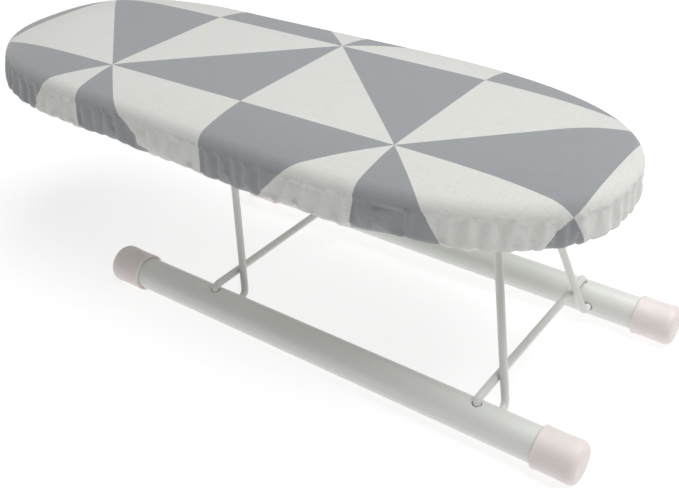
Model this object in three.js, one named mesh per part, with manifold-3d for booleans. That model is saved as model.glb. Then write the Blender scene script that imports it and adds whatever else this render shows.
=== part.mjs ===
// A small table-top ironing board: a padded, cloth-covered board on two wire leg frames
// that fold, together, flat onto a base of two foot tubes and two cross rods.
//
// Millimetres, +Z up, +X towards the end that stands over the feet (the front), +Y left.
// The origin is on the table, in the middle of the whole object's length and width.
import * as THREE from "three";
import { mergeVertices } from "three/addons/utils/BufferGeometryUtils.js";
import Module from "manifold-3d";

// ---- Driving dimensions -------------------------------------------------------------

// Board outline: a straight middle, a little wider at the front, with two rounded ends.
const BOARD_LENGTH = 460;
const REAR_END_LENGTH = 142; // how much of the length the rounded rear end takes
const FRONT_END_LENGTH = 175;
const REAR_HALF_WIDTH = 89.8; // where the rear end meets the straight middle
const FRONT_HALF_WIDTH = 94.6;
const REAR_ROUNDNESS = 2.53; // superellipse power: 2 is an ellipse, more is squarer
const FRONT_ROUNDNESS = 2.45;
const OUTLINE_STEPS = 11; // points in each quarter of the outline

// Board layers.
const SURFACE_HEIGHT = 156; // table to the top of the cover
const COVER_DEPTH = 33.5; // top of the cover to the underside of its hem
const COVER_THICKNESS = 1.2;
const CROWN_WIDTH = 48; // how far in from the edge the top begins to fall away
const CROWN_DROP = 5.2; // how far it has fallen where the rounded corner begins
const CORNER_REACH = 7; // how far in from the edge the corner begins
const HEM_RADIUS = 4; // where the skirt turns in under the board
const HEM_WIDTH = 11; // how far the hem turns in under the board
const PAD_THICKNESS = 13; // in the middle; its edge follows the cover's crown
const PANEL_THICKNESS = 0.8;
const PANEL_RIM_DEPTH = 11.5; // the turned-down rim, panel top to rim edge
const ELASTIC_SIZE = 3;
const VENT_RADIUS = 5;
const VENT_PITCH = 44; // along the board; rows are offset by half of it
const VENT_EDGE_MARGIN = 20; // least distance from a vent's centre to the rim

// Base: two foot tubes with caps, and two cross rods.
const BASE_LENGTH = 350; // cap end to cap end
const FOOT_REACH = 21.5; // how far the caps stand out past the front of the board
const FOOT_SPACING = 146.8; // tube centre to tube centre
const TUBE_RADIUS = 11;
const TUBE_WALL = 1;
const CAP_LENGTH = 26;
const CAP_WALL = 2; // outside of the tube to the outside of the cap
const CAP_END_THICKNESS = 3;
const CAP_END_RADIUS = 3.5;
const CAP_FLAT_DEPTH = 0.35; // the moulded flat that each cap rests on

// Wire legs and rods.
const WIRE_RADIUS = 2.5;
const LEG_SPACING = 196; // rear hinge to front hinge
const FRONT_HINGE_SETBACK = 55.5; // front of the caps to the front leg's lower hinge
const LEG_LEAN_DEG = 16.1; // the legs lean back past upright when they stand
const LEG_FOOT_SPREAD = 55.3; // half of the leg frame's width at the bottom
const LEG_TOP_SPREAD = 20; // half of its width at the top bar
const FOOT_PIN_REACH = 14; // leg corner to the tip of the pin inside the tube
const WIRE_BEND_RADIUS = 6;
const ROD_BEND_RADIUS = 3.5;
const ROD_STUB_DEPTH = 8; // how far a rod's end goes down into the tube
const ROD_LIFT = 0.5; // between the tubes' tops and the rod that lies across them
const HOLE_CLEARANCE = 0.6; // round a wire in its hole in the tube

// Brackets and rivets that hold the legs' top bars to the panel.
const BRACKET_WIDTH = 24; // along the bar
const BRACKET_REACH = 14; // bar centre to the end of a bracket's flange
const BRACKET_THICKNESS = 1.5;
const RIVET_ACROSS = 9.5; // bar centre to rivet centre
const RIVET_ALONG = 7; // bracket centre to rivet centre
const RIVET_RADIUS = 1.8;
const RIVET_HEAD_RADIUS = 3.4;
const RIVET_HEAD_HEIGHT = 1.6;

const GAP = 0.3; // between pieces that touch
const RUN_PAST = 2; // how far a cutting tool runs past the piece it cuts
const ROUND_SIDES = 24; // tubes and caps
const CORNER_STEPS = 5; // steps in the cover's and the pad's rounded corner
const WIRE_SIDES = 10; // wire legs and rods
const SMALL_SIDES = 8; // rivets, vents and drilled holes

// ---- Places worked out from them ------------------------------------------------------

const HALF_LENGTH = (BOARD_LENGTH + FOOT_REACH) / 2;
const REAR_TIP_X = -HALF_LENGTH;
const FRONT_TIP_X = REAR_TIP_X + BOARD_LENGTH;
const BASE_FRONT_X = HALF_LENGTH;
const BASE_REAR_X = BASE_FRONT_X - BASE_LENGTH;

const CAP_RADIUS = TUBE_RADIUS + CAP_WALL + CAP_FLAT_DEPTH;
const TUBE_Z = CAP_RADIUS - CAP_FLAT_DEPTH;
const TUBE_TOP_Z = TUBE_Z + TUBE_RADIUS;
const FOOT_Y = FOOT_SPACING / 2;

const HEM_Z = SURFACE_HEIGHT - COVER_DEPTH;
const PAD_TOP_Z = SURFACE_HEIGHT - COVER_THICKNESS - GAP;
const PAD_BOTTOM_Z = PAD_TOP_Z - PAD_THICKNESS;
const PANEL_TOP_Z = PAD_BOTTOM_Z - GAP;
const PANEL_UNDER_Z = PANEL_TOP_Z - PANEL_THICKNESS;
const PAD_INSET = COVER_THICKNESS + GAP;
const PANEL_INSET = PAD_INSET + 1; // room for the folds of the skirt
const CORNER_SLOPE = Math.atan((2 * CROWN_DROP) / (CROWN_WIDTH - CORNER_REACH));
const CORNER_RADIUS = CORNER_REACH / (1 - Math.sin(CORNER_SLOPE));
const CORNER_Z = SURFACE_HEIGHT - CROWN_DROP - CORNER_RADIUS * Math.cos(CORNER_SLOPE);

const LEAN = THREE.MathUtils.degToRad(LEG_LEAN_DEG);
const HINGE_X = {
  front: BASE_FRONT_X - FRONT_HINGE_SETBACK,
  rear: BASE_FRONT_X - FRONT_HINGE_SETBACK - LEG_SPACING,
};
const TOP_BAR_Z = PANEL_UNDER_Z - GAP - WIRE_RADIUS;
const TOP_BAR_BACK = (TOP_BAR_Z - TUBE_Z) * Math.tan(LEAN); // top bar behind the hinge
const TOP_BAR_X = { front: HINGE_X.front - TOP_BAR_BACK, rear: HINGE_X.rear - TOP_BAR_BACK };
const RIVET_SEAT_Z = TOP_BAR_Z + WIRE_RADIUS - BRACKET_THICKNESS - GAP / 2;
const ROD_Z = TUBE_TOP_Z + WIRE_RADIUS + ROD_LIFT;
// The leaning leg comes to rest against the rod, which is its stop.
const ROD_BACK =
  (2 * WIRE_RADIUS + GAP + (ROD_Z - TUBE_Z) * Math.sin(LEAN)) / Math.cos(LEAN);
const ROD_X = { front: HINGE_X.front - ROD_BACK, rear: HINGE_X.rear - ROD_BACK };

// ---- Colours ----------------------------------------------------------------------------

const paint = new THREE.MeshStandardMaterial({ color: 0xe4e6e1, roughness: 0.42, metalness: 0.0 });
const cap = new THREE.MeshStandardMaterial({ color: 0xe3d6d4, roughness: 0.5, metalness: 0.0 });
const cotton = new THREE.MeshStandardMaterial({ color: 0xc9cbca, roughness: 0.9, metalness: 0.0 });
const foam = new THREE.MeshStandardMaterial({ color: 0xe9e4d2, roughness: 1.0, metalness: 0.0 });
const elastic = new THREE.MeshStandardMaterial({ color: 0xf0eee6, roughness: 0.9, metalness: 0.0 });
const zinc = new THREE.MeshStandardMaterial({ color: 0xb9bcc0, roughness: 0.4, metalness: 0.9 });

// ---- Solids --------------------------------------------------------------------------------

const wasm = await Module();
wasm.setup();

// A closed geometry as a manifold-3d solid.
function solid(geometry) {
  const bare = geometry.clone();
  bare.deleteAttribute("normal");
  bare.deleteAttribute("uv");
  const merged = mergeVertices(bare, 1e-4);
  return new wasm.Manifold(
    new wasm.Mesh({
      numProp: 3,
      vertProperties: merged.attributes.position.array,
      triVerts: new Uint32Array(merged.index.array),
    }),
  );
}

function geometryOf(made) {
  const mesh = made.getMesh();
  const geometry = new THREE.BufferGeometry();
  geometry.setAttribute("position", new THREE.BufferAttribute(mesh.vertProperties, 3));
  geometry.setIndex(new THREE.BufferAttribute(mesh.triVerts, 1));
  geometry.computeVertexNormals();
  return geometry;
}

// The board's outline, anticlockwise from the middle of the right-hand side.
function boardOutline() {
  const rearX = REAR_TIP_X + REAR_END_LENGTH;
  const frontX = FRONT_TIP_X - FRONT_END_LENGTH;
  const quarter = (originX, length, halfWidth, power) =>
    Array.from({ length: OUTLINE_STEPS + 1 }, (_, i) => {
      const angle = (i / OUTLINE_STEPS) * (Math.PI / 2);
      return new THREE.Vector2(
        originX + length * Math.sin(angle) ** (2 / power),
        halfWidth * Math.max(Math.cos(angle), 0) ** (2 / power),
      );
    });
  const front = quarter(frontX, FRONT_END_LENGTH, FRONT_HALF_WIDTH, FRONT_ROUNDNESS);
  const rear = quarter(rearX, -REAR_END_LENGTH, REAR_HALF_WIDTH, REAR_ROUNDNESS);
  const mirrored = (points) => points.map((p) => new THREE.Vector2(p.x, -p.y));
  return [
    ...mirrored(front).slice(0, -1),
    ...front.slice().reverse(),
    ...rear.slice(0, -1),
    ...mirrored(rear).reverse(),
  ];
}

// A slab in the board's outline, inset all round, with its top and bottom edges rounded.
function slab(inset, bottom, top, round, segments = 3) {
  const geometry = new THREE.ExtrudeGeometry(new THREE.Shape(boardOutline()), {
    depth: top - bottom - 2 * round,
    bevelEnabled: true,
    bevelThickness: round,
    bevelSize: round,
    bevelOffset: -inset - round,
    bevelSegments: segments,
  });
  return solid(geometry.translate(0, 0, bottom + round));
}

// The board's outline moved inwards, by the mitred offset that the slabs also use.
function insetOutline(inset) {
  const outline = boardOutline();
  return outline.map((p, i) => {
    const before = p.clone().sub(outline.at(i - 1)).normalize();
    const after = outline[(i + 1) % outline.length].clone().sub(p).normalize();
    const normal = new THREE.Vector2(-before.y - after.y, before.x + after.x);
    return normal.multiplyScalar((2 * inset) / normal.lengthSq()).add(p);
  });
}

// A slab with square edges.
function plainSlab(inset, bottom, top) {
  const geometry = new THREE.ExtrudeGeometry(new THREE.Shape(insetOutline(inset)), {
    depth: top - bottom,
    bevelEnabled: false,
  });
  return solid(geometry.translate(0, 0, bottom));
}

// The edge of the padded top, as [inset, height] pairs from the flat middle outwards: a
// crown that falls away ever faster, then a rounded corner down to an upright skirt. It is
// drawn at a depth inside the cover's outer face.
function edgeSection(depth) {
  const crown = [0, 0.3, 0.55, 0.8].map((share) => [
    CROWN_WIDTH - (CROWN_WIDTH - CORNER_REACH) * share,
    SURFACE_HEIGHT - CROWN_DROP * share ** 2 - depth,
  ]);
  const corner = Array.from({ length: CORNER_STEPS + 1 }, (_, k) => {
    const angle = CORNER_SLOPE + (Math.PI / 2 - CORNER_SLOPE) * (k / CORNER_STEPS);
    const reach = CORNER_RADIUS - depth;
    return [CORNER_RADIUS - reach * Math.sin(angle), CORNER_Z + reach * Math.cos(angle)];
  });
  return [...crown, ...corner];
}

// A solid with one outline's inset at each height of a section, from its top to its bottom.
function lofted(section) {
  const rings = section.map(([inset, z]) => insetOutline(inset).map((p) => v(p.x, p.y, z)));
  const count = rings[0].length;
  const triangles = [];
  rings.slice(1).forEach((lower, j) => {
    for (let i = 0; i < count; i += 1) {
      const next = (i + 1) % count;
      triangles.push([rings[j][i], lower[i], lower[next]], [rings[j][i], lower[next], rings[j][next]]);
    }
  });
  for (const [ring, flip] of [[rings[0], false], [rings.at(-1), true]]) {
    for (const [a, b, c] of THREE.ShapeUtils.triangulateShape(ring, [])) {
      triangles.push(flip ? [ring[a], ring[c], ring[b]] : [ring[a], ring[b], ring[c]]);
    }
  }
  return solid(new THREE.BufferGeometry().setFromPoints(triangles.flat()));
}

// A round bar between two points.
function bar(from, to, radius, sides = ROUND_SIDES) {
  const along = to.clone().sub(from);
  const geometry = new THREE.CylinderGeometry(radius, radius, along.length(), sides);
  // Half a side of turn puts a flat, and not an edge, at the bottom.
  geometry.rotateY(Math.PI / sides);
  geometry.applyQuaternion(
    new THREE.Quaternion().setFromUnitVectors(new THREE.Vector3(0, 1, 0), along.clone().normalize()),
  );
  return solid(geometry.translate(...from.clone().add(to).multiplyScalar(0.5).toArray()));
}

// A curve through stations that are as close as the wire's bends need.
class Stations extends THREE.Curve {
  constructor(points) {
    super();
    this.points = points;
  }

  getPoint(t) {
    const place = t * (this.points.length - 1);
    const i = Math.min(Math.floor(place), this.points.length - 2);
    return this.points[i].clone().lerp(this.points[i + 1], place - i);
  }

  getPointAt(u) {
    return this.getPoint(u);
  }

  getTangentAt(u) {
    const half = 0.5 / (this.points.length - 1);
    const before = this.getPoint(Math.max(u - half, 0));
    return this.getPoint(Math.min(u + half, 1)).sub(before).normalize();
  }
}

// The centre line of a wire bent at each inner corner of a path.
function bentPath(corners, bendRadius, bendSteps = 4) {
  const stations = [corners[0]];
  for (let i = 1; i < corners.length - 1; i += 1) {
    const back = corners[i - 1].clone().sub(corners[i]).normalize();
    const on = corners[i + 1].clone().sub(corners[i]).normalize();
    const half = back.angleTo(on) / 2;
    const centre = back.clone().add(on).normalize()
      .multiplyScalar(bendRadius / Math.sin(half)).add(corners[i]);
    const start = corners[i].clone().addScaledVector(back, bendRadius / Math.tan(half)).sub(centre);
    const axis = start.clone().cross(corners[i].clone().sub(centre)).normalize();
    for (let k = 0; k <= bendSteps; k += 1) {
      const turn = (Math.PI - 2 * half) * (k / bendSteps);
      stations.push(start.clone().applyAxisAngle(axis, turn).add(centre));
    }
  }
  return [...stations, corners.at(-1)];
}

function wire(corners, bendRadius) {
  const section = new THREE.Shape();
  section.absarc(0, 0, WIRE_RADIUS, 0, 2 * Math.PI);
  const stations = bentPath(corners, bendRadius);
  return new THREE.ExtrudeGeometry(section, {
    steps: stations.length - 1,
    curveSegments: WIRE_SIDES,
    extrudePath: new Stations(stations),
  });
}

// A lathe profile of [radius, height] pairs, turned about the Z axis.
function turned(profile, sides) {
  const points = profile.map(([radius, height]) => new THREE.Vector2(radius, height));
  return new THREE.LatheGeometry(points, sides).rotateX(Math.PI / 2);
}

// ---- Nodes --------------------------------------------------------------------------------------

const v = (x, y, z) => new THREE.Vector3(x, y, z);
const ENDS = ["front", "rear"];
const SIDES = { left: 1, right: -1 };

// The places of one bracket's four rivets, from the bracket's centre.
const RIVETS = ["fore", "aft"].flatMap((row) =>
  Object.entries(SIDES).map(([side, sign]) => ({
    name: `${row}_${side}`,
    x: row === "fore" ? RIVET_ACROSS : -RIVET_ACROSS,
    y: sign * RIVET_ALONG,
  })),
);

// Cutters for a bracket's rivet holes, long enough for the bracket and the panel.
function rivetHoles(x, z) {
  const reach = PANEL_THICKNESS + BRACKET_THICKNESS + RUN_PAST;
  const holes = RIVETS.map((rivet) =>
    bar(
      v(x + rivet.x, rivet.y, z - reach),
      v(x + rivet.x, rivet.y, z + reach),
      RIVET_RADIUS + GAP,
      SMALL_SIDES,
    ),
  );
  return wasm.Manifold.union(holes);
}

// Cover: one cloth shell, drawn in under the board to a hem, open in the middle below.
function coverGeometry() {
  const skin = (depth) => {
    const roll = [0, 0.25, 0.5, 0.75, 1].map((share) => {
      const angle = (share * Math.PI) / 2;
      const reach = HEM_RADIUS - depth;
      return [HEM_RADIUS - reach * Math.cos(angle), HEM_Z + HEM_RADIUS - reach * Math.sin(angle)];
    });
    return lofted([...edgeSection(depth), ...roll]);
  };
  const outside = skin(0);
  const inside = skin(COVER_THICKNESS);
  const mouth = plainSlab(HEM_WIDTH, HEM_Z - RUN_PAST, HEM_Z + COVER_THICKNESS + RUN_PAST);
  return geometryOf(outside.subtract(inside).subtract(mouth));
}

// Pad: one slab of foam with the crown and corner of the top, flat below.
function padGeometry() {
  const whole = lofted([...edgeSection(PAD_INSET), [PAD_INSET, HEM_Z]]);
  return geometryOf(whole.trimByPlane([0, 0, 1], PAD_BOTTOM_Z));
}

// Elastic: a closed loop that lies in the hem and draws it in.
function elasticGeometry() {
  const bottom = HEM_Z + COVER_THICKNESS + GAP;
  const outer = HEM_WIDTH - GAP - 1 - ELASTIC_SIZE;
  const loop = slab(outer, bottom, bottom + ELASTIC_SIZE, ELASTIC_SIZE / 3, 2);
  const middle = plainSlab(outer + ELASTIC_SIZE, bottom - RUN_PAST, bottom + ELASTIC_SIZE + RUN_PAST);
  return geometryOf(loop.subtract(middle));
}

// Vents: rows of round holes, left out where they would meet the rim or a bracket.
function ventPlaces() {
  const outline = boardOutline();
  const clearOfRim = (x, y) => outline.every((p, i) => {
    const q = outline[(i + 1) % outline.length];
    const edge = q.clone().sub(p);
    return edge.x * (y - p.y) - edge.y * (x - p.x) > VENT_EDGE_MARGIN * edge.length();
  });
  const bracketLength = BRACKET_REACH + VENT_RADIUS + RUN_PAST;
  const bracketHalf = BRACKET_WIDTH / 2 + VENT_RADIUS + RUN_PAST;
  const clearOfBrackets = (x, y) =>
    ENDS.every((end) => Math.abs(x - TOP_BAR_X[end]) > bracketLength || Math.abs(y) > bracketHalf);
  const rowPitch = VENT_PITCH / 2;
  const rows = Math.ceil(Math.max(REAR_HALF_WIDTH, FRONT_HALF_WIDTH) / rowPitch);
  const places = [];
  for (let row = -rows; row <= rows; row += 1) {
    const shift = row % 2 ? VENT_PITCH / 2 : 0;
    for (let x = REAR_TIP_X + shift; x < FRONT_TIP_X; x += VENT_PITCH) {
      const y = row * rowPitch;
      if (clearOfRim(x, y) && clearOfBrackets(x, y)) places.push({ x, y });
    }
  }
  return places;
}

// Panel: a pressed steel tray, upside down, with vents and rivet holes.
function panelGeometry() {
  const rimBottom = PANEL_TOP_Z - PANEL_RIM_DEPTH;
  const blank = plainSlab(PANEL_INSET, rimBottom, PANEL_TOP_Z);
  const hollow = plainSlab(PANEL_INSET + PANEL_THICKNESS, rimBottom - RUN_PAST, PANEL_UNDER_Z);
  const vents = ventPlaces().map(({ x, y }) =>
    bar(v(x, y, PANEL_UNDER_Z - RUN_PAST), v(x, y, PANEL_TOP_Z + RUN_PAST), VENT_RADIUS, SMALL_SIDES),
  );
  const rivets = ENDS.map((end) => rivetHoles(TOP_BAR_X[end], PANEL_UNDER_Z));
  return geometryOf(blank.subtract(wasm.Manifold.union([hollow, ...vents, ...rivets])));
}

// Bracket: a strap with a half-round channel that holds a top bar against the panel.
// It is drawn round the centre of the bar.
function bracketGeometry() {
  const inner = WIRE_RADIUS + GAP;
  const outer = inner + BRACKET_THICKNESS;
  const flangeTop = WIRE_RADIUS;
  const flangeBottom = flangeTop - BRACKET_THICKNESS;
  const section = new THREE.Shape();
  section.moveTo(-BRACKET_REACH, flangeTop);
  section.lineTo(-BRACKET_REACH, flangeBottom);
  section.lineTo(-outer, flangeBottom);
  section.lineTo(-outer, 0);
  section.absarc(0, 0, outer, Math.PI, 2 * Math.PI, false);
  section.lineTo(outer, flangeBottom);
  section.lineTo(BRACKET_REACH, flangeBottom);
  section.lineTo(BRACKET_REACH, flangeTop);
  section.lineTo(inner, flangeTop);
  section.lineTo(inner, 0);
  section.absarc(0, 0, inner, 2 * Math.PI, Math.PI, true);
  section.lineTo(-inner, flangeTop);
  const strap = new THREE.ExtrudeGeometry(section, {
    depth: BRACKET_WIDTH,
    bevelEnabled: false,
    curveSegments: 8,
  });
  strap.rotateX(Math.PI / 2).translate(0, BRACKET_WIDTH / 2, 0);
  return geometryOf(solid(strap).subtract(rivetHoles(0, flangeTop)));
}

// Rivet: a domed head, its seat at height 0, and a shank that ends flush with the panel.
function rivetGeometry() {
  const shank = PANEL_TOP_Z - RIVET_SEAT_Z;
  const domeSteps = 3;
  const dome = Array.from({ length: domeSteps + 1 }, (_, i) => {
    const angle = (i / domeSteps) * (Math.PI / 2);
    return [RIVET_HEAD_RADIUS * Math.sin(angle), -RIVET_HEAD_HEIGHT * Math.cos(angle)];
  });
  return turned([...dome, [RIVET_RADIUS, 0], [RIVET_RADIUS, shank], [0, shank]], SMALL_SIDES);
}

// Leg frame: one wire, from a pin in the left tube, up, across and down to the right tube.
// It is drawn from the middle of its lower hinge.
function legGeometry() {
  const tip = LEG_FOOT_SPREAD + FOOT_PIN_REACH;
  const half = [
    v(0, tip, 0),
    v(0, LEG_FOOT_SPREAD, 0),
    v(-TOP_BAR_BACK, LEG_TOP_SPREAD, TOP_BAR_Z - TUBE_Z),
  ];
  return wire([...half, ...mirroredInY(half)], WIRE_BEND_RADIUS);
}

// Cross rod: its two ends turn down into the tops of the tubes. It is drawn from its middle.
function rodGeometry() {
  const half = [v(0, FOOT_Y, TUBE_TOP_Z - ROD_STUB_DEPTH - ROD_Z), v(0, FOOT_Y, 0)];
  return wire([...half, ...mirroredInY(half)], ROD_BEND_RADIUS);
}

function mirroredInY(points) {
  return points.toReversed().map((p) => v(p.x, -p.y, p.z));
}

// Foot tube: a thin steel tube, drilled on its inner side and on top for the wires.
// The inner side is the one towards `inward`, +1 or -1 along Y.
function tubeGeometry(inward) {
  const cover = CAP_END_THICKNESS + GAP;
  const from = v(BASE_REAR_X + cover, 0, 0);
  const to = v(BASE_FRONT_X - cover, 0, 0);
  const past = v(RUN_PAST, 0, 0);
  const bore = bar(from.clone().sub(past), to.clone().add(past), TUBE_RADIUS - TUBE_WALL);
  const drill = (x, towards) =>
    bar(
      v(x, 0, 0),
      towards.multiplyScalar(TUBE_RADIUS + RUN_PAST).add(v(x, 0, 0)),
      WIRE_RADIUS + HOLE_CLEARANCE,
      SMALL_SIDES,
    );
  const holes = ENDS.flatMap((end) => [drill(HINGE_X[end], v(0, inward, 0)), drill(ROD_X[end], v(0, 0, 1))]);
  return geometryOf(bar(from, to, TUBE_RADIUS).subtract(wasm.Manifold.union([bore, ...holes])));
}

// Cap: a soft cup over a tube's end, with a rounded end and a narrow flat underneath.
// It is drawn along +X from its rim.
function capGeometry() {
  const bore = TUBE_RADIUS + GAP;
  const lip = 0.6;
  const roundSteps = 3;
  const round = Array.from({ length: roundSteps + 1 }, (_, i) => {
    const angle = (i / roundSteps) * (Math.PI / 2);
    return [
      CAP_RADIUS - CAP_END_RADIUS * (1 - Math.cos(angle)),
      CAP_LENGTH - CAP_END_RADIUS * (1 - Math.sin(angle)),
    ];
  });
  const profile = [
    [0, CAP_LENGTH - CAP_END_THICKNESS],
    [bore, CAP_LENGTH - CAP_END_THICKNESS],
    [bore, 0],
    [CAP_RADIUS - lip, 0],
    [CAP_RADIUS, lip],
    ...round,
    [0, CAP_LENGTH],
  ];
  const cup = turned(profile, ROUND_SIDES).rotateY(Math.PI / 2);
  const table = new THREE.BoxGeometry(3 * CAP_LENGTH, 3 * CAP_RADIUS, CAP_RADIUS);
  table.translate(0, 0, -TUBE_Z - CAP_RADIUS / 2);
  return geometryOf(solid(cup).subtract(solid(table)));
}

// ---- Assembly ------------------------------------------------------------------------------

const ironingBoard = new THREE.Group();

function place(name, geometry, material, position = v(0, 0, 0)) {
  const mesh = new THREE.Mesh(geometry, material);
  mesh.name = name;
  mesh.position.copy(position);
  ironingBoard.add(mesh);
  return mesh;
}

place("fabric_cover", coverGeometry(), cotton);
place("hem_elastic", elasticGeometry(), elastic);
place("foam_pad", padGeometry(), foam);
place("board_panel", panelGeometry(), paint);

for (const end of ENDS) {
  place(`${end}_pivot_bracket`, bracketGeometry(), zinc, v(TOP_BAR_X[end], 0, TOP_BAR_Z));
  for (const rivet of RIVETS) {
    const spot = v(TOP_BAR_X[end] + rivet.x, rivet.y, RIVET_SEAT_Z);
    place(`${end}_bracket_rivet_${rivet.name}`, rivetGeometry(), zinc, spot);
  }
  place(`${end}_leg_frame`, legGeometry(), paint, v(HINGE_X[end], 0, TUBE_Z));
  place(`${end}_cross_rod`, rodGeometry(), paint, v(ROD_X[end], 0, ROD_Z));
}

for (const [side, sign] of Object.entries(SIDES)) {
  place(`${side}_foot_tube`, tubeGeometry(-sign), paint, v(0, sign * FOOT_Y, TUBE_Z));
  const front = v(BASE_FRONT_X - CAP_LENGTH, sign * FOOT_Y, TUBE_Z);
  const rear = v(BASE_REAR_X + CAP_LENGTH, sign * FOOT_Y, TUBE_Z);
  place(`front_${side}_foot_cap`, capGeometry(), cap, front);
  place(`rear_${side}_foot_cap`, capGeometry(), cap, rear).rotation.z = Math.PI;
}

export default ironingBoard;
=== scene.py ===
# %% [markdown]
# A small table-top ironing board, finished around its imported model.
#
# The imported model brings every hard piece: two foot tubes, two cross rods, two wire leg
# frames, the pressed board panel, its brackets and rivets. They stay exactly where they are
# and only get a finish. This file makes the soft pieces that a solid can't show well, which
# are the printed cotton cover, the foam pad under it and the elastic in its hem, and the
# four moulded end caps. Everything is in metres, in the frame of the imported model, so a
# piece is made where it belongs and never has to be fitted afterwards.

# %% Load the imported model
import math
import random

import bmesh
import bpy
from mathutils import Matrix, Vector


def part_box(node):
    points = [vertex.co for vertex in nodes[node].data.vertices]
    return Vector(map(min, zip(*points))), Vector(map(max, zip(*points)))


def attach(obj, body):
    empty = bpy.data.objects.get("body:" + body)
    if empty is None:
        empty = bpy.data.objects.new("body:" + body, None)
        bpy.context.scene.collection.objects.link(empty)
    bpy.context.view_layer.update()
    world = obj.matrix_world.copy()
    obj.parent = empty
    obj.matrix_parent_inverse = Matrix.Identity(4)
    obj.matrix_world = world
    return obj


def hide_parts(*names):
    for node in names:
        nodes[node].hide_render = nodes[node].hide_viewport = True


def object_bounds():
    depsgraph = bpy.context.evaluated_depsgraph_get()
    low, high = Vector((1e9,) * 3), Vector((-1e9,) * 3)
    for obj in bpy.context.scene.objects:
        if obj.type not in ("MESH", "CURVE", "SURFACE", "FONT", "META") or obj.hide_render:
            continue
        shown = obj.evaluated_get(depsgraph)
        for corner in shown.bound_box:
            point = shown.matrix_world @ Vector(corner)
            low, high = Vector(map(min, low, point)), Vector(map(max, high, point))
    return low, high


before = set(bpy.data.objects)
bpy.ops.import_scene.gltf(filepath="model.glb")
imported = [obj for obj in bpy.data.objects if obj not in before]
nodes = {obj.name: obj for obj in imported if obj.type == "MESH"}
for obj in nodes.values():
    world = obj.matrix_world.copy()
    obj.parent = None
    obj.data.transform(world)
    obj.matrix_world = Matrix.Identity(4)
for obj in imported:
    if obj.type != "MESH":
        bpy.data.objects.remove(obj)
cad_low, cad_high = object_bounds()

# %% [markdown]
# The camera comes first, because every later choice is judged through it. It stands in front
# of the right foot tube, at about the height of a person's chest beside a table, and looks
# down along the board. Three turns place it: round the vertical, down, and a slight roll.
# The matrix's columns are the camera's own right, up and backward directions.

# %% Camera
CAMERA_PLACE = Vector((0.35075, -0.4436, 0.3878))
CAMERA_TURN = math.radians(35.99)
CAMERA_DOWN = math.radians(32.49)
CAMERA_ROLL = math.radians(-0.89)
LENS_MM = 50.43

level_right = Vector((math.cos(CAMERA_TURN), math.sin(CAMERA_TURN), 0))
ahead = Vector(
    (
        -math.sin(CAMERA_TURN) * math.cos(CAMERA_DOWN),
        math.cos(CAMERA_TURN) * math.cos(CAMERA_DOWN),
        -math.sin(CAMERA_DOWN),
    )
)
level_up = level_right.cross(ahead)
right = level_right * math.cos(CAMERA_ROLL) + level_up * math.sin(CAMERA_ROLL)
up = right.cross(ahead)

camera_data = bpy.data.cameras.new("camera")
camera_data.lens = LENS_MM
camera_data.sensor_width = 36
camera_data.clip_start = 0.01
camera = bpy.data.objects.new("camera", camera_data)
camera.matrix_world = Matrix.Translation(CAMERA_PLACE) @ Matrix((right, up, -ahead)).transposed().to_4x4()
bpy.context.scene.collection.objects.link(camera)
bpy.context.scene.camera = camera
print("camera looks along", tuple(round(c, 3) for c in ahead))

# %% [markdown]
# The light is that of a product table: a wide soft box overhead, a weak one from the front
# right, and a pale sky all round that opens the shadows. The camera sees that sky as plain
# white, so a low view has no dark band above the floor. The standard view transform keeps
# whites white. The floor is a light table, lit from below, so almost no shadow shows on it.

# %% Light and floor
bpy.context.scene.view_settings.view_transform = "Standard"

SKY_STRENGTH = 0.21
BACKDROP_STRENGTH = 1.0
OVERHEAD_PLACE, OVERHEAD_SIZE, OVERHEAD_WATTS = (0.45, 0.25, 1.55), 1.5, 27.5
FRONT_PLACE, FRONT_SIZE, FRONT_WATTS = (1.5, 0.0, 0.8), 0.8, 0.5
FLOOR_HALF = 6.0


def white_background(tree, strength):
    """A plain white glow of one strength, for the world's nodes."""
    glow = tree.nodes.new("ShaderNodeBackground")
    glow.inputs["Color"].default_value = (1.0, 1.0, 1.0, 1.0)
    glow.inputs["Strength"].default_value = strength
    return glow.outputs["Background"]


def pale_sky():
    """A world that lights the object softly, and that the camera sees as white."""
    sky = bpy.data.worlds.new("pale_sky")
    sky.use_nodes = True
    tree = sky.node_tree
    seen_by = tree.nodes.new("ShaderNodeLightPath")
    either = tree.nodes.new("ShaderNodeMixShader")
    tree.links.new(seen_by.outputs["Is Camera Ray"], either.inputs[0])
    tree.links.new(white_background(tree, SKY_STRENGTH), either.inputs[1])
    tree.links.new(white_background(tree, BACKDROP_STRENGTH), either.inputs[2])
    tree.links.new(either.outputs["Shader"], tree.nodes["World Output"].inputs["Surface"])
    return sky


def soft_box(name, place, aim, size, watts):
    """A square area light at one point that faces another."""
    lamp = bpy.data.lights.new(name, "AREA")
    lamp.shape = "SQUARE"
    lamp.size = size
    lamp.energy = watts
    box = bpy.data.objects.new(name, lamp)
    box.location = place
    box.rotation_mode = "QUATERNION"
    box.rotation_quaternion = (Vector(aim) - Vector(place)).to_track_quat("-Z", "Y")
    bpy.context.scene.collection.objects.link(box)


bpy.context.scene.world = pale_sky()
board_middle = (cad_low + cad_high) / 2
soft_box("overhead_box", OVERHEAD_PLACE, board_middle, OVERHEAD_SIZE, OVERHEAD_WATTS)
soft_box("front_box", FRONT_PLACE, board_middle, FRONT_SIZE, FRONT_WATTS)


def new_object(name, bm, smooth=True):
    """Turns a bmesh into an object at the origin, and frees the bmesh."""
    mesh = bpy.data.meshes.new(name)
    bm.to_mesh(mesh)
    bm.free()
    if smooth:
        mesh.polygons.foreach_set("use_smooth", [True] * len(mesh.polygons))
    made = bpy.data.objects.new(name, mesh)
    bpy.context.scene.collection.objects.link(made)
    return made


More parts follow.
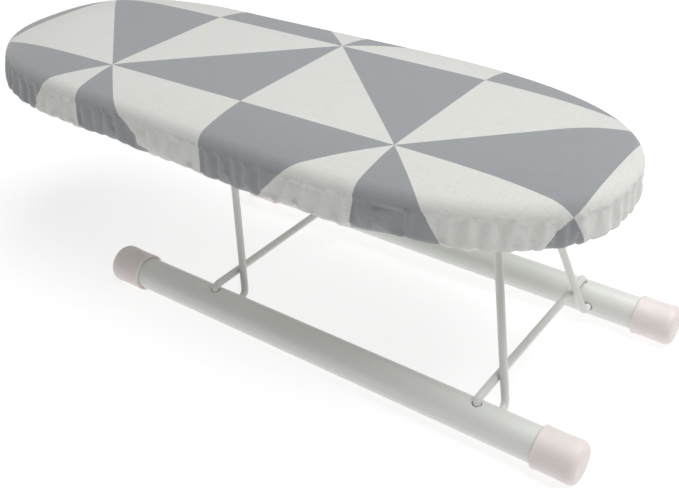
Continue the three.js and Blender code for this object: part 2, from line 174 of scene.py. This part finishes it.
floor_mesh = bmesh.new()
bmesh.ops.create_grid(floor_mesh, x_segments=1, y_segments=1, size=FLOOR_HALF)
floor = new_object("floor", floor_mesh, smooth=False)

# %% [markdown]
# A finish is a small graph of shader nodes. Most of this object's finishes start the same way:
# one Principled shader, a colour, a roughness, and a fine bump. These helpers keep each finish
# below to the few lines that make it different.


# %% Helpers for finishes
def new_finish(name, colour=None, roughness=0.5, **sockets):
    """A material with one Principled shader, and its node tree."""
    material = bpy.data.materials.new(name)
    material.use_nodes = True
    tree = material.node_tree
    shader = tree.nodes["Principled BSDF"]
    if colour:
        shader.inputs["Base Color"].default_value = (*colour, 1.0)
    shader.inputs["Roughness"].default_value = roughness
    for socket, value in sockets.items():
        shader.inputs[socket.replace("_", " ")].default_value = value
    return material, tree, shader


def sum_node(tree, operation, first, second=0.0):
    """One Math node; its two inputs are numbers or other nodes' outputs."""
    node = tree.nodes.new("ShaderNodeMath")
    node.operation = operation
    for socket, value in zip(node.inputs, (first, second)):
        if isinstance(value, (int, float)):
            socket.default_value = value
        else:
            tree.links.new(value, socket)
    return node.outputs["Value"]


def noise(tree, place, scale, detail=2.0, roughness=0.5):
    """A cloudy value from 0 to 1 that varies with place."""
    node = tree.nodes.new("ShaderNodeTexNoise")
    node.inputs["Scale"].default_value = scale
    node.inputs["Detail"].default_value = detail
    node.inputs["Roughness"].default_value = roughness
    tree.links.new(place, node.inputs["Vector"])
    return node.outputs["Fac"]


def object_place(tree):
    return tree.nodes.new("ShaderNodeTexCoord").outputs["Object"]


def mix_colours(tree, share, first, second, blend="MIX"):
    """Mixes two colours, each a triple or another node's output."""
    node = tree.nodes.new("ShaderNodeMix")
    node.data_type = "RGBA"
    node.blend_type = blend
    for socket, value in ((node.inputs[0], share), (node.inputs[6], first), (node.inputs[7], second)):
        if isinstance(value, tuple):
            socket.default_value = (*value, 1.0)
        elif isinstance(value, (int, float)):
            socket.default_value = value
        else:
            tree.links.new(value, socket)
    return node.outputs[2]


def remap(tree, value, low, high):
    """Stretches a 0 to 1 value to run from low to high."""
    node = tree.nodes.new("ShaderNodeMapRange")
    node.inputs["To Min"].default_value = low
    node.inputs["To Max"].default_value = high
    tree.links.new(value, node.inputs["Value"])
    return node.outputs["Result"]


def bump(tree, shader, height, distance, strength=1.0, under=None):
    """A bump of a height in metres, laid over another bump if one is given."""
    node = tree.nodes.new("ShaderNodeBump")
    node.inputs["Strength"].default_value = strength
    node.inputs["Distance"].default_value = distance
    tree.links.new(height, node.inputs["Height"])
    if under:
        tree.links.new(under, node.inputs["Normal"])
    tree.links.new(node.outputs["Normal"], shader.inputs["Normal"])
    return node.outputs["Normal"]


floor_finish, _, _ = new_finish(
    "light_table",
    colour=(0.36, 0.36, 0.36),
    roughness=0.9,
    Emission_Color=(1.0, 1.0, 1.0, 1.0),
    Emission_Strength=0.74,
)
floor.data.materials.append(floor_finish)

# %% [markdown]
# The board's outline rules every soft piece, so it comes next. A real panel blank is drawn
# with a straight, slightly tapered middle and two rounded ends. Each end is a superellipse,
# an ellipse whose power is a little over 2, which makes it squarer. The overall length and
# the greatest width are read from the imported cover, and only the shape of the ends is set
# here. The points are spaced evenly along the outline, because cloth has even threads.

# %% Board outline
REAR_END_LENGTH = 0.142
FRONT_END_LENGTH = 0.175
REAR_HALF_WIDTH = 0.0898
REAR_ROUNDNESS = 2.53
FRONT_ROUNDNESS = 2.45
STATIONS = 640
TURN_REACH = 12

cover_low, cover_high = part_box("fabric_cover")
front_half_width = cover_high.y
rear_end_x = cover_low.x + REAR_END_LENGTH
front_end_x = cover_high.x - FRONT_END_LENGTH


def rounded_end(origin_x, length, half_width, roundness, steps=400):
    """Half of an end, from the straight side to the tip, on the left of the board."""
    turns = [math.pi / 2 * i / steps for i in range(steps + 1)]
    return [
        Vector(
            (
                origin_x + length * math.sin(turn) ** (2 / roundness),
                half_width * max(math.cos(turn), 0) ** (2 / roundness),
            )
        )
        for turn in turns
    ]


front_half = rounded_end(front_end_x, FRONT_END_LENGTH, front_half_width, FRONT_ROUNDNESS)
rear_half = rounded_end(rear_end_x, -REAR_END_LENGTH, REAR_HALF_WIDTH, REAR_ROUNDNESS)
left_side = front_half[::-1] + rear_half
right_side = [Vector((p.x, -p.y)) for p in left_side[::-1]]
dense_outline = left_side + right_side[1:]


def evenly_spaced(points, count):
    """Points at equal steps along a closed line."""
    gaps = [(b - a).length for a, b in zip(points, points[1:])]
    step = sum(gaps) / count
    spaced, walked, at = [], 0.0, 0
    for i in range(count):
        while at < len(gaps) - 1 and walked + gaps[at] < i * step:
            walked += gaps[at]
            at += 1
        share = (i * step - walked) / max(gaps[at], 1e-9)
        spaced.append(points[at].lerp(points[at + 1], share))
    return spaced, sum(gaps)


outline, outline_length = evenly_spaced(dense_outline, STATIONS)
station_step = outline_length / STATIONS


def outward(i, reach=6):
    """The direction that points out of the board at one station."""
    along = outline[(i + reach) % STATIONS] - outline[i - reach]
    return Vector((along.y, -along.x)).normalized()


normals = [outward(i) for i in range(STATIONS)]
turns = [
    normals[i - TURN_REACH].angle(normals[(i + TURN_REACH) % STATIONS])
    / (2 * TURN_REACH * station_step)
    for i in range(STATIONS)
]
print(f"outline {outline_length:.3f} m round, a station every {1000 * station_step:.1f} mm")

# %% [markdown]
# Every soft piece of the board is a ring: one section that runs all the way round the
# outline. A bmesh circle gives the first loop, and each further loop is extruded from the one
# before and moved to its place, as a tailor turns cloth over an edge one fold at a time. A
# whole-number layer on the vertices remembers which station each one belongs to, and it is
# copied with them when they are extruded.


# %% Rings round the outline
def at_station(i, inset, height):
    """The point at a station, moved in from the outline and lifted to a height."""
    flat = outline[i] - normals[i] * inset
    return Vector((flat.x, flat.y, height))


def first_loop(bm, inset, height):
    """The loop of edges that a ring starts from."""
    station = bm.verts.layers.int.new("station")
    verts = bmesh.ops.create_circle(bm, segments=STATIONS, radius=1.0)["verts"]
    for i, vert in enumerate(verts):
        vert[station] = i
        vert.co = at_station(i, inset, height)
    return list({edge for vert in verts for edge in vert.link_edges})


def next_loop(bm, edges, inset, height):
    """Extrudes a loop of edges, and moves the new loop to its place."""
    station = bm.verts.layers.int["station"]
    made = bmesh.ops.extrude_edge_only(bm, edges=edges)["geom"]
    for vert in (g for g in made if isinstance(g, bmesh.types.BMVert)):
        vert.co = at_station(vert[station], inset, height)
    new = {g for g in made if isinstance(g, bmesh.types.BMVert)}
    return [g for g in made if isinstance(g, bmesh.types.BMEdge) and set(g.verts) <= new]


def arc(centre, radius, start, end, steps):
    """Points of an arc in a section; angles run from straight in, over the top, to out."""
    angles = [math.radians(start + (end - start) * k / steps) for k in range(steps + 1)]
    return [
        (centre[0] + radius * math.cos(a), centre[1] + radius * math.sin(a)) for a in angles
    ]


# %% [markdown]
# The cover is one oval of cotton. It lies on a thick pad, so its top isn't a plain slab: flat
# in the middle, it falls away in a wide soft crown, turns a round corner, drops down an
# upright skirt and turns in under the board, where its edge is rolled round an elastic. The
# section below follows that path from the flat middle outwards; each point is how far in
# from the outline it is, and its height. The distance walked along the section is kept,
# because the print follows the cloth: a point on the skirt shows what was printed that far
# from the flat middle.

# %% Cover: the section of the cloth
CROWN_WIDTH = 0.048
CROWN_DROP = 0.0052
CORNER_REACH = 0.0070
CROWN_LOOPS = 7
CORNER_END = 160
CORNER_LOOPS = 7
CREASE = ((0.0002, 0.0018), (0.0002, 0.0008), (0.0005, -0.0006), (0.0008, -0.0022))
SKIRT_LEAN = 0.0008
SKIRT_LOOPS = 7
UNDER_ROLL = 0.0045
HEM_RADIUS = 0.0023
HEM_INSET = 0.0086
HEM_TUCK = 0.0030

top_z = cover_high.z
hem_z = cover_low.z + 0.0004
corner_slope = math.atan(2 * CROWN_DROP / (CROWN_WIDTH - CORNER_REACH))
corner_radius = CORNER_REACH / (1 - math.sin(corner_slope))
corner_z = top_z - CROWN_DROP - corner_radius * math.cos(corner_slope)


def edge_section(depth):
    """The crown and the corner, at a depth under the top of the cloth."""
    crown = [
        (
            CROWN_WIDTH - (CROWN_WIDTH - CORNER_REACH) * k / CROWN_LOOPS,
            top_z - depth - CROWN_DROP * (k / CROWN_LOOPS) ** 2,
        )
        for k in range(CROWN_LOOPS)
    ]
    start = 90 + math.degrees(corner_slope)
    corner = arc((corner_radius, corner_z), corner_radius - depth, start, CORNER_END, CORNER_LOOPS)
    return crown + corner


crease = [(inset, corner_z + rise) for inset, rise in CREASE]
skirt_foot = hem_z + UNDER_ROLL
skirt_rise = crease[-1][1] - skirt_foot
skirt = [
    (
        crease[-1][0] + (SKIRT_LEAN - crease[-1][0]) * k / SKIRT_LOOPS,
        crease[-1][1] - skirt_rise * k / SKIRT_LOOPS,
    )
    for k in range(1, SKIRT_LOOPS)
]
cloth_section = (
    edge_section(0.0)
    + crease
    + skirt
    + arc((SKIRT_LEAN + UNDER_ROLL, skirt_foot), UNDER_ROLL, 180, 270, 4)
    + arc((HEM_INSET, hem_z + HEM_RADIUS), HEM_RADIUS, 270, 450, 5)
    + [(HEM_INSET - HEM_TUCK, hem_z + 2 * HEM_RADIUS)]
)
walk = [0.0]
for (inset_a, height_a), (inset_b, height_b) in zip(cloth_section, cloth_section[1:]):
    walk.append(walk[-1] + math.hypot(inset_b - inset_a, height_b - height_a))
print(f"the cloth runs {1000 * walk[-1]:.1f} mm from the flat middle to the tucked end")

# %% [markdown]
# The flat middle is filled inwards: its loops shrink towards a straight spine along the board,
# where the two halves are merged. The crown, the skirt and the hem are extruded outwards
# along the section. The flat place of every point is kept in a UV map, in metres.

# %% Cover: the sheet
SPINE_LOOPS = 6
SPINE_REAR_GAP = 0.105
SPINE_FRONT_GAP = 0.115
MERGE_DISTANCE = 0.0002
spine_rear = cover_low.x + SPINE_REAR_GAP
spine_front = cover_high.x - SPINE_FRONT_GAP


def build_cloth():
    """The sheet, with the distance walked and the flat place of every point."""
    bm = bmesh.new()
    edges = first_loop(bm, *cloth_section[0])
    walked = bm.verts.layers.float.new("walked")
    for (inset, height), distance in zip(cloth_section[1:], walk[1:]):
        edges = next_loop(bm, edges, inset, height)
        for vert in {v for e in edges for v in e.verts}:
            vert[walked] = distance
    station = bm.verts.layers.int["station"]
    start = [v for v in bm.verts if v[walked] == 0.0]
    edges = [e for e in bm.edges if set(e.verts) <= set(start)]
    last = {v[station]: v.co.copy() for v in start}
    for k in range(1, SPINE_LOOPS + 1):
        edges = next_loop(bm, edges, 0.0, top_z)
        for vert in {v for e in edges for v in e.verts}:
            begin = last[vert[station]]
            spine = Vector((min(max(begin.x, spine_rear), spine_front), 0, top_z))
            vert.co = begin.lerp(spine, k / SPINE_LOOPS)
    bmesh.ops.remove_doubles(bm, verts=bm.verts, dist=MERGE_DISTANCE)
    uv = bm.loops.layers.uv.new("cloth")
    for face in bm.faces:
        for loop in face.loops:
            vert = loop.vert
            flat = vert.co.xy
            if vert[walked] > 0:
                i = vert[station]
                flat = outline[i] + normals[i] * (vert[walked] - cloth_section[0][0])
            loop[uv].uv = flat
    bmesh.ops.recalc_face_normals(bm, faces=bm.faces)
    return bm


cloth_mesh = build_cloth()
print("cover:", len(cloth_mesh.verts), "points,", len(cloth_mesh.faces), "faces")

# %% [markdown]
# Cloth that is drawn in by an elastic gathers. At the rounded ends there is more cloth than
# edge to lie on, so it puckers there; along the straight sides it only waves a little, and
# the hem droops here and there. First the skirt is given shallow waves. They come
# from seeded random numbers, so these first waves are the same each time.

# %% Cover: the first waves
random.seed(7)
PUCKER_DEPTH = 0.0021
SIDE_WAVE = 0.0009
HEM_DROOP = 0.0017
REAR_FLARE = 0.0032
REAR_FLARE_LENGTH = 0.16
MOST_INWARD = 0.0005
PUCKER_FROM = 0.15
PUCKER_SPAN = 0.5
sharpest = max(turns)


def waves(count, shortest, longest):
    """A few waves of random length and phase that close up round the outline."""
    made = []
    for _ in range(count):
        cycles = round(outline_length / random.uniform(shortest, longest))
        made.append((cycles, random.uniform(0, 2 * math.pi), random.uniform(0.5, 1.0)))
    total = sum(size for _, _, size in made)
    return [(cycles, phase, size / total) for cycles, phase, size in made]


pucker_waves = waves(6, 0.009, 0.022)
side_waves = waves(5, 0.045, 0.120)
droop_waves = waves(6, 0.030, 0.110)


def wave_at(group, share):
    """The height of a group of waves, at a share of the way round."""
    return sum(size * math.sin(2 * math.pi * cycles * share + phase) for cycles, phase, size in group)


def smooth_step(value):
    """Eases from 0 to 1, and stays there."""
    value = min(max(value, 0.0), 1.0)
    return value * value * (3 - 2 * value)


skirt_top = walk[CROWN_LOOPS + CORNER_LOOPS]
hem_start = walk[-8]


def first_waves(bm):
    """Moves the skirt and the hem out, in and down where the cloth gathers."""
    station = bm.verts.layers.int["station"]
    walked = bm.verts.layers.float["walked"]
    for vert in bm.verts:
        if vert[walked] <= skirt_top:
            continue
        i = vert[station]
        share = i / STATIONS
        fall = (vert[walked] - skirt_top) / (hem_start - skirt_top)
        down = smooth_step(fall)
        fold = smooth_step(1.8 * fall) * (1 - 0.6 * min(fall, 1.0) ** 2)
        bend = smooth_step((turns[i] / sharpest - PUCKER_FROM) / PUCKER_SPAN)
        flare = smooth_step((cover_low.x + REAR_FLARE_LENGTH - outline[i].x) / REAR_FLARE_LENGTH)
        out = PUCKER_DEPTH * (0.35 + 0.65 * bend) * wave_at(pucker_waves, share) * fold
        out += (SIDE_WAVE * wave_at(side_waves, share) + REAR_FLARE * flare) * down
        droop = HEM_DROOP * wave_at(droop_waves, share) * (1 - 0.6 * bend)
        out = max(out, -MOST_INWARD)
        vert.co.x += normals[i].x * out
        vert.co.y += normals[i].y * out
        vert.co.z -= droop * down * down


first_waves(cloth_mesh)
cover = new_object("fabric_cover_sewn", cloth_mesh)
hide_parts("fabric_cover")

# %% [markdown]
# Then the cloth settles in a short simulation. The top and the rolled hem are held where they
# are, and the skirt between them is a few percent longer than the gap it spans, so it buckles
# into folds of its own and bulges a little from the air behind it. What it ends as is written
# back into the mesh, with the way inwards limited, so no fold sinks into the pad or panel.
# The distances are copied to a plain list first, because adding a vertex group moves them.
# The solver doesn't repeat exactly: single folds can land a millimetre or two apart from one
# run to the next. The limits on the way in and out hold in every run.

# %% Cover: the settling of the skirt
SETTLE_FRAMES = 24
HELD_FADE_TOP = 0.004
HELD_FADE_HEM = 0.005
SPARE_CLOTH = 0.07
MOST_OUTWARD = 0.0024


def hold_top_and_hem(piece):
    """A vertex group that is 1 on the top and the hem, and fades to 0 on the skirt."""
    walked = [0.0] * len(piece.data.vertices)
    piece.data.attributes["walked"].data.foreach_get("value", walked)
    group = piece.vertex_groups.new(name="held")
    for vert in piece.data.vertices:
        distance = walked[vert.index]
        from_top = smooth_step((distance - skirt_top) / HELD_FADE_TOP)
        from_hem = smooth_step((hem_start - distance) / HELD_FADE_HEM)
        group.add([vert.index], 1.0 - min(from_top, from_hem), "REPLACE")
    return group


def settle(piece):
    """Runs the cloth simulation and writes its last frame back into the mesh."""
    held = hold_top_and_hem(piece)
    drape = piece.modifiers.new("drape", "CLOTH")
    cloth = drape.settings
    cloth.quality = 6
    cloth.mass = 0.02
    cloth.tension_stiffness = 12
    cloth.compression_stiffness = 12
    cloth.shear_stiffness = 4
    cloth.bending_stiffness = 0.02
    cloth.shrink_min = -SPARE_CLOTH
    cloth.vertex_group_mass = held.name
    cloth.use_pressure = True
    cloth.uniform_pressure_force = 0.4
    drape.collision_settings.use_collision = False
    drape.point_cache.frame_start = 1
    drape.point_cache.frame_end = SETTLE_FRAMES
    scene = bpy.context.scene
    for frame_number in range(1, SETTLE_FRAMES + 1):
        scene.frame_set(frame_number)
    settled = piece.evaluated_get(bpy.context.evaluated_depsgraph_get()).to_mesh()
    places = [vert.co.copy() for vert in settled.vertices]
    station = [0] * len(places)
    piece.data.attributes["station"].data.foreach_get("value", station)
    moved = 0.0
    for vert, place in zip(piece.data.vertices, places):
        normal = normals[station[vert.index]].to_3d()
        step = place - vert.co
        out = step.dot(normal)
        step += normal * (min(max(out, -MOST_INWARD / 2), MOST_OUTWARD) - out)
        moved = max(moved, step.length)
        vert.co += step
    piece.modifiers.remove(drape)
    scene.frame_set(1)
    print(f"the skirt settled, by {1000 * moved:.1f} mm at most")


settle(cover)

# %% Cover: thickness
CLOTH_THICKNESS = 0.0006
wall = cover.modifiers.new("cloth_thickness", "SOLIDIFY")
wall.thickness = CLOTH_THICKNESS
wall.offset = -1.0

# %% [markdown]
# The print is a field of triangles: squares on a turned grid, each cut by one diagonal, with
# the diagonals meeting at every second corner so that eight triangles make a star. A shader
# can draw that exactly, at any size, with a handful of sums. The UV map holds metres on the
# flat cloth, so it is moved, turned and divided by the side of a square. The whole part says
# which square a point is in, and the remainder says where it is inside it.

# %% Finish: printed cotton
SQUARE_SIDE = 0.1077
PRINT_CORNER = Vector((-0.1121, -0.0547))
PRINT_TURN = 0.018
THREAD = 0.00052
GREY = (0.283, 0.297, 0.313)
OFF_WHITE = (0.690, 0.695, 0.655)


def print_mask(tree, flat):
    """1 where the cloth is printed grey, 0 where it is left off-white."""
    turn = tree.nodes.new("ShaderNodeMapping")
    turn.vector_type = "TEXTURE"
    turn.inputs["Location"].default_value = (*PRINT_CORNER, 0)
    turn.inputs["Rotation"].default_value = (0, 0, PRINT_TURN)
    turn.inputs["Scale"].default_value = (SQUARE_SIDE, SQUARE_SIDE, 1)
    tree.links.new(flat, turn.inputs["Vector"])
    parts = tree.nodes.new("ShaderNodeSeparateXYZ")
    tree.links.new(turn.outputs["Vector"], parts.inputs["Vector"])
    u, v = parts.outputs["X"], parts.outputs["Y"]
    column, row = sum_node(tree, "FLOOR", u), sum_node(tree, "FLOOR", v)
    across, along = sum_node(tree, "FRACT", u), sum_node(tree, "FRACT", v)
    square_is_odd = sum_node(tree, "FLOORED_MODULO", sum_node(tree, "ADD", column, row), 2.0)
    row_is_odd = sum_node(tree, "FLOORED_MODULO", row, 2.0)
    rising = sum_node(tree, "LESS_THAN", along, across)
    falling = sum_node(tree, "GREATER_THAN", sum_node(tree, "ADD", across, along), 1.0)
    half = tree.nodes.new("ShaderNodeMix")
    tree.links.new(square_is_odd, half.inputs[0])
    tree.links.new(rising, half.inputs[2])
    tree.links.new(falling, half.inputs[3])
    return sum_node(tree, "ABSOLUTE", sum_node(tree, "SUBTRACT", half.outputs[0], row_is_odd))


def threads(tree, flat, direction):
    """A fine wave across one set of threads of the weave."""
    wave = tree.nodes.new("ShaderNodeTexWave")
    wave.bands_direction = direction
    wave.inputs["Scale"].default_value = 2 * math.pi / THREAD / 20
    wave.inputs["Distortion"].default_value = 0.6
    wave.inputs["Detail Scale"].default_value = 1.5
    tree.links.new(flat, wave.inputs["Vector"])
    return wave.outputs["Fac"]


def stretched(tree, place, scale):
    """A place scaled by its own amount along each axis, which makes streaks of a noise."""
    node = tree.nodes.new("ShaderNodeMapping")
    node.inputs["Scale"].default_value = scale
    tree.links.new(place, node.inputs["Vector"])
    return node.outputs["Vector"]


def cotton_finish():
    material, tree, shader = new_finish("printed_cotton", roughness=0.88)
    shader.inputs["Sheen Weight"].default_value = 0.5
    shader.inputs["Sheen Roughness"].default_value = 0.6
    shader.inputs["Specular IOR Level"].default_value = 0.25
    uv = tree.nodes.new("ShaderNodeUVMap")
    uv.uv_map = "cloth"
    flat = uv.outputs["UV"]
    printed = mix_colours(tree, print_mask(tree, flat), OFF_WHITE, GREY)
    slubs_across = noise(tree, stretched(tree, flat, (90, 1400, 1)), 1.0)
    slubs_along = noise(tree, stretched(tree, flat, (1400, 90, 1)), 1.0)
    slubs = sum_node(tree, "ADD", slubs_across, slubs_along)
    mottled = sum_node(tree, "ADD", slubs, noise(tree, flat, 1100, 2.0))
    shade = remap(tree, sum_node(tree, "DIVIDE", mottled, 3.0), 0.74, 1.26)
    worn = tree.nodes.new("ShaderNodeVectorMath")
    worn.operation = "SCALE"
    tree.links.new(printed, worn.inputs[0])
    tree.links.new(shade, worn.inputs["Scale"])
    tree.links.new(worn.outputs["Vector"], shader.inputs["Base Color"])
    weave = sum_node(tree, "MULTIPLY", threads(tree, flat, "X"), threads(tree, flat, "Y"))
    fine = bump(tree, shader, weave, THREAD * 0.22, 0.55)
    bump(tree, shader, slubs, 0.00022, 0.5, under=fine)
    return material


cover.data.materials.append(cotton_finish())
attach(cover, "board")

# %% [markdown]
# The pad is a thick slab of soft foam. Its top has the crown and the corner of the cloth that
# lies on it, its underside is flat, and it shows only from below, through the vents. It is
# one closed ring section whose first and last loops are filled with a face.

# %% Foam pad
pad_low, pad_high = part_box("foam_pad")
PAD_CORNER = 0.0004
pad_inset = pad_low.x - cover_low.x
pad_section = edge_section(top_z - pad_high.z) + arc(
    (pad_inset + PAD_CORNER, pad_low.z + PAD_CORNER), PAD_CORNER, 180, 270, 2
)
pad_section = [(max(inset, pad_inset), height) for inset, height in pad_section]


def closed_slab(section):
    """A solid ring section, capped above and below."""
    bm = bmesh.new()
    edges = first_loop(bm, *section[0])
    bmesh.ops.contextual_create(bm, geom=edges)
    for inset, height in section[1:]:
        edges = next_loop(bm, edges, inset, height)
    bmesh.ops.contextual_create(bm, geom=edges)
    bmesh.ops.recalc_face_normals(bm, faces=bm.faces)
    return bm


pad = new_object("foam_pad_cut", closed_slab(pad_section))
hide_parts("foam_pad")
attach(pad, "board")


def foam_finish():
    material, tree, shader = new_finish("cream_foam", roughness=0.95)
    place = object_place(tree)
    cells = tree.nodes.new("ShaderNodeTexVoronoi")
    cells.inputs["Scale"].default_value = 900
    tree.links.new(place, cells.inputs["Vector"])
    colour = mix_colours(tree, noise(tree, place, 60), (0.78, 0.73, 0.58), (0.86, 0.82, 0.70))
    tree.links.new(colour, shader.inputs["Base Color"])
    bump(tree, shader, cells.outputs["Distance"], 0.0004, 0.6)
    return material


pad.data.materials.append(foam_finish())

# %% [markdown]
# The elastic is a round braided cord, sewn into the rolled hem all the way round. It is held
# on every side, so it isn't a loose cord: it is one more ring, with a round section.

# %% Hem elastic
ELASTIC_RADIUS = 0.0015
elastic_section = arc((HEM_INSET, hem_z + HEM_RADIUS), ELASTIC_RADIUS, 0, 360, 10)[:-1]


def closed_ring(section):
    """A ring whose section closes on itself."""
    bm = bmesh.new()
    edges = first_loop(bm, *section[0])
    first = list(edges)
    for inset, height in section[1:]:
        edges = next_loop(bm, edges, inset, height)
    bmesh.ops.bridge_loops(bm, edges=first + edges)
    bmesh.ops.recalc_face_normals(bm, faces=bm.faces)
    return bm


hem_cord = new_object("hem_elastic_braid", closed_ring(elastic_section))
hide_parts("hem_elastic")
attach(hem_cord, "board")


def elastic_finish():
    material, tree, shader = new_finish("braided_elastic", roughness=0.8)
    place = object_place(tree)
    colour = mix_colours(tree, noise(tree, place, 700), (0.72, 0.71, 0.66), (0.86, 0.85, 0.80))
    tree.links.new(colour, shader.inputs["Base Color"])
    bump(tree, shader, noise(tree, place, 1600, 1.0), 0.0003, 0.8)
    return material


hem_cord.data.materials.append(elastic_finish())

# %% [markdown]
# Each end cap is a soft plastic cup, pushed over the tube. It is turned, in the workshop
# sense: a half section is spun round the tube's axis. The mould leaves a small bead round the
# mouth, a slight waist behind it, and a generous round at the closed end.

# %% End caps
TUBE_WALL_GAP = 0.0003
CAP_END_ROUND = 0.0042
CAP_FLOOR = 0.0030
CAP_BEAD = 0.0012
CAP_WAIST = 0.0003
SPIN_STEPS = 64

tube_low, tube_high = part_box("right_foot_tube")
tube_radius = (tube_high.z - tube_low.z) / 2
tube_axis_z = (tube_high.z + tube_low.z) / 2


def cap_profile(length, radius, bore):
    """Half of the cap's section, as pairs of distance along the axis and radius."""
    waist = radius - CAP_WAIST
    mouth = [
        (length - CAP_FLOOR, 0.0),
        (length - CAP_FLOOR, bore),
        (0.0, bore),
        (0.0, radius - CAP_BEAD / 2),
        (CAP_BEAD * 0.3, radius - CAP_BEAD * 0.12),
        (CAP_BEAD, radius),
        (CAP_BEAD * 1.8, radius - CAP_BEAD * 0.12),
        (CAP_BEAD * 2.4, waist),
        (length * 0.55, waist),
        (length - CAP_END_ROUND * 1.4, radius),
    ]
    rounds = arc((length - CAP_END_ROUND, radius - CAP_END_ROUND), CAP_END_ROUND, 90, 0, 7)
    return mouth + rounds + [(length, 0.0)]


def make_cap(name, node, outwards):
    """A cap in the box of its node, its closed end towards outwards, +1 or -1 along X."""
    low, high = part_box(node)
    middle_y = (low.y + high.y) / 2
    axis_z = tube_axis_z
    radius = axis_z - low.z
    mouth_x = low.x if outwards > 0 else high.x
    bm = bmesh.new()
    profile = cap_profile(high.x - low.x, radius, tube_radius + TUBE_WALL_GAP)
    verts = [bm.verts.new((mouth_x + outwards * x, middle_y, axis_z + r)) for x, r in profile]
    edges = [bm.edges.new(pair) for pair in zip(verts, verts[1:])]
    bmesh.ops.spin(
        bm,
        geom=verts + edges,
        cent=(mouth_x, middle_y, axis_z),
        axis=(1, 0, 0),
        angle=2 * math.pi,
        steps=SPIN_STEPS,
        use_merge=True,
    )
    bmesh.ops.remove_doubles(bm, verts=bm.verts, dist=1e-6)
    bmesh.ops.recalc_face_normals(bm, faces=bm.faces)
    return new_object(name, bm)


def cap_plastic_finish():
    material, tree, shader = new_finish("pale_cap_plastic", roughness=0.42)
    shader.inputs["Subsurface Weight"].default_value = 0.35
    shader.inputs["Subsurface Radius"].default_value = (0.004, 0.003, 0.0025)
    shader.inputs["Subsurface Scale"].default_value = 1.0
    shader.inputs["IOR"].default_value = 1.49
    place = object_place(tree)
    cloudy = noise(tree, place, 90, 3.0)
    colour = mix_colours(tree, cloudy, (0.79, 0.69, 0.665), (0.87, 0.79, 0.77))
    tree.links.new(colour, shader.inputs["Base Color"])
    tree.links.new(remap(tree, noise(tree, place, 240), 0.34, 0.52), shader.inputs["Roughness"])
    bump(tree, shader, noise(tree, place, 420, 4.0), 0.00012, 0.35)
    return material


cap_plastic = cap_plastic_finish()
for end, outwards in (("front", 1), ("rear", -1)):
    for side in ("left", "right"):
        node = f"{end}_{side}_foot_cap"
        moulded = make_cap(node + "_moulded", node, outwards)
        moulded.data.materials.append(cap_plastic)
        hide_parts(node)
        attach(moulded, "base")
print("four caps, tube radius", round(1000 * tube_radius, 1), "mm")

# %% [markdown]
# The tubes, rods, legs and panel are steel under a warm white powder coat. Powder melts into
# a skin with a faint orange peel, it is a little glossy, and its colour and gloss vary a little
# from place to place. The imported meshes are loose triangles, so a weld and an edge split give
# them smooth round sides with crisp ends, and no point of the mesh is moved.

# %% Finish: powder coat and zinc
ROUND_LIMIT = math.radians(40)


def powder_coat_finish(name, light, dark):
    material, tree, shader = new_finish(name, roughness=0.38)
    shader.inputs["Coat Weight"].default_value = 0.25
    shader.inputs["Coat Roughness"].default_value = 0.2
    place = object_place(tree)
    colour = mix_colours(tree, noise(tree, place, 35, 4.0), dark, light)
    tree.links.new(colour, shader.inputs["Base Color"])
    tree.links.new(remap(tree, noise(tree, place, 130, 3.0), 0.30, 0.48), shader.inputs["Roughness"])
    bump(tree, shader, noise(tree, place, 1100, 2.0), 0.00008, 0.35)
    return material


def zinc_finish():
    material, tree, shader = new_finish("dull_zinc", roughness=0.4, Metallic=1.0)
    place = object_place(tree)
    spangle = tree.nodes.new("ShaderNodeTexVoronoi")
    spangle.inputs["Scale"].default_value = 260
    tree.links.new(place, spangle.inputs["Vector"])
    colour = mix_colours(tree, spangle.outputs["Distance"], (0.62, 0.63, 0.65), (0.50, 0.52, 0.54))
    tree.links.new(colour, shader.inputs["Base Color"])
    tree.links.new(remap(tree, noise(tree, place, 500, 3.0), 0.32, 0.55), shader.inputs["Roughness"])
    bump(tree, shader, noise(tree, place, 1500, 2.0), 0.00005, 0.4)
    return material


def finish_node(node, material):
    """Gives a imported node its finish, and smooth sides."""
    part = nodes[node]
    part.data.materials.clear()
    part.data.materials.append(material)
    part.data.polygons.foreach_set("use_smooth", [True] * len(part.data.polygons))
    weld = part.modifiers.new("weld", "WELD")
    weld.merge_threshold = 1e-5
    split = part.modifiers.new("crisp_ends", "EDGE_SPLIT")
    split.split_angle = ROUND_LIMIT


white_coat = powder_coat_finish("white_powder_coat", (0.775, 0.785, 0.75), (0.735, 0.745, 0.71))
panel_coat = powder_coat_finish("panel_powder_coat", (0.72, 0.73, 0.70), (0.66, 0.67, 0.64))
zinc = zinc_finish()
for side in ("left", "right"):
    finish_node(f"{side}_foot_tube", white_coat)
for end in ("front", "rear"):
    finish_node(f"{end}_leg_frame", white_coat)
    finish_node(f"{end}_cross_rod", white_coat)
    finish_node(f"{end}_pivot_bracket", zinc)
    for row in ("fore", "aft"):
        for side in ("left", "right"):
            finish_node(f"{end}_bracket_rivet_{row}_{side}", zinc)
finish_node("board_panel", panel_coat)
